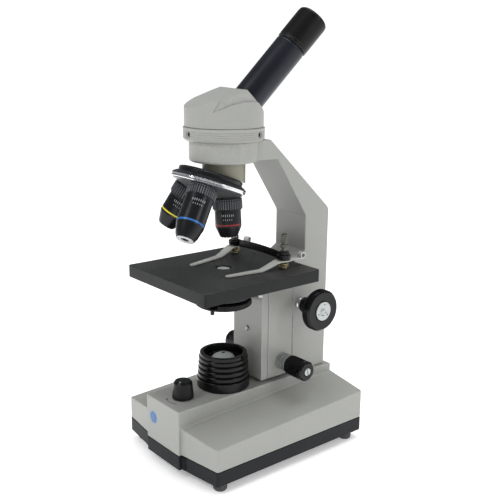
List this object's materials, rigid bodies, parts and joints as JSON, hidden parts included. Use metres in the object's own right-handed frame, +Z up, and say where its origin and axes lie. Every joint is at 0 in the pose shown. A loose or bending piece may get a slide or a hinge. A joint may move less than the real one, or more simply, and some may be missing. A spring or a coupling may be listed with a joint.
{
  "type": "compound microscope",
  "caption": "Monocular student's microscope with an inclined tube, a tilted turret of objectives, a plain stage with clips, coarse and fine focus knobs, and a lit base with a dimmer.",
  "frame": {"origin": "centre of the overall box on the table plane, under the feet", "axes": "+Z up, -Y towards the user, +X to the user's right when facing the arm from the front, so the arm stands at +Y"},
  "size_m": [0.136, 0.1806, 0.3953],
  "materials": {
    "body_paint": "satin warm grey paint",
    "neck_paint": "satin cream-grey paint",
    "tray_paint": "fine textured charcoal paint",
    "foot_rubber": "moulded black rubber",
    "black_plastic": "moulded black plastic",
    "gloss_black": "polished black plastic",
    "stage_black": "satin black anodised plate",
    "black_anodised": "black anodised, turned",
    "objective_red": "black anodised with a red band",
    "objective_yellow": "black anodised with a yellow band",
    "objective_blue": "black anodised with a blue band",
    "satin_silver": "satin turned metal",
    "chrome": "polished",
    "brass": "drawn wire and cut teeth",
    "glass": "clear, coated",
    "circuit": "circuit board"
  },
  "bodies": {
    "stand": {"base_cover": "body_paint", "bottom_plate": "tray_paint", "foot_front_left": "foot_rubber", "foot_front_right": "foot_rubber", "foot_rear_left": "foot_rubber", "foot_rear_right": "foot_rubber", "dc_inlet": "black_plastic", "dimmer_control": "black_plastic", "illuminator_housing": "black_plastic", "collector_lens": "glass", "led_board": "circuit", "arm": "body_paint", "shaft_collar_left": "chrome", "shaft_collar_right": "chrome", "nosepiece_neck": "neck_paint", "nosepiece_plate": "black_anodised", "turret_screw": "satin_silver", "head_collar": "body_paint", "collar_screw_front": "black_anodised", "collar_screw_right": "black_anodised", "collar_screw_left": "black_anodised"},
    "dimmer": {"dimmer_knob": "black_plastic"},
    "coarse_drive": {"pinion_shaft": "satin_silver", "coarse_knob_left": "black_plastic", "coarse_knob_right": "black_plastic", "coarse_cap_left": "satin_silver", "coarse_cap_right": "satin_silver"},
    "coarse_slide": {"carriage": "body_paint", "rack": "brass"},
    "fine_drive": {"fine_shaft": "satin_silver", "fine_knob_left": "black_plastic", "fine_knob_right": "black_plastic", "fine_neck_left": "satin_silver", "fine_neck_right": "satin_silver", "fine_screw_left": "satin_silver", "fine_screw_right": "satin_silver"},
    "stage": {"stage_bracket": "body_paint", "bracket_screw": "satin_silver", "stage_screw": "satin_silver", "stage_plate": "stage_black", "condenser_housing": "black_anodised", "condenser_lens": "glass", "clip_post_left": "satin_silver", "clip_post_right": "satin_silver", "clip_spring_left": "brass", "clip_spring_right": "brass", "clip_bridge_bar": "gloss_black"},
    "iris": {"iris_ring": "black_plastic"},
    "clip_left": {"clip_arm_left": "satin_silver"},
    "clip_right": {"clip_arm_right": "satin_silver"},
    "nosepiece": {"turret": "black_anodised", "turret_rim": "chrome", "objective_4x": "objective_red", "objective_10x": "objective_yellow", "objective_40x": "objective_blue"},
    "head": {"head_body": "body_paint", "prism": "glass", "eyepiece_tube": "black_anodised"},
    "ocular": {"eyepiece": "black_plastic", "eye_lens": "glass"}
  },
  "joints": [
    {"name": "dimmer_turn", "type": "hinge", "parent": "stand", "child": "dimmer", "pos_m": [0.002, -0.0695, 0.0695], "axis": [0, 0, 1], "range_deg": [-140, 140]},
    {"name": "coarse_focus", "type": "slide", "parent": "stand", "child": "coarse_slide", "axis": [0, 0, 1], "range_m": [0, 0.0125]},
    {"name": "coarse_knobs", "type": "hinge", "parent": "stand", "child": "coarse_drive", "pos_m": [0, 0.0508, 0.1305], "axis": [1, 0, 0], "range_deg": [-150, 0.5]},
    {"name": "fine_knobs", "type": "hinge", "parent": "coarse_slide", "child": "fine_drive", "pos_m": [0, 0.0298, 0.078], "axis": [1, 0, 0], "range_deg": [-640, 640]},
    {"name": "fine_focus", "type": "slide", "parent": "coarse_slide", "child": "stage", "axis": [0, 0, 1], "range_m": [-0.00085, 0.00085]},
    {"name": "iris_turn", "type": "hinge", "parent": "stage", "child": "iris", "pos_m": [0, -0.0234, 0.142], "axis": [0, 0, 1], "range_deg": [-40, 35]},
    {"name": "clip_left_swivel", "type": "hinge", "parent": "stage", "child": "clip_left", "pos_m": [-0.0346, 0.0168, 0.18], "axis": [0, 0, 1], "range_deg": [-25, 16]},
    {"name": "clip_right_swivel", "type": "hinge", "parent": "stage", "child": "clip_right", "pos_m": [0.0346, 0.0168, 0.18], "axis": [0, 0, 1], "range_deg": [-12, 25]},
    {"name": "nosepiece_turn", "type": "hinge", "parent": "stand", "child": "nosepiece", "pos_m": [0, -0.03982, 0.24859], "axis": [0, 0.342, 0.9397], "continuous": true},
    {"name": "head_turn", "type": "hinge", "parent": "stand", "child": "head", "pos_m": [0, -0.0234, 0.29], "axis": [0, 0, 1], "continuous": true},
    {"name": "eyepiece_lift", "type": "slide", "parent": "head", "child": "ocular", "axis": [0.1937, 0.6337, 0.749], "range_m": [0, 0.024]}
  ],
  "couplings": [
    {"joint": "coarse_knobs", "follows": "coarse_focus", "rad_per_m": -208.33},
    {"joint": "fine_knobs", "follows": "fine_focus", "rad_per_m": 12566}
  ]
}
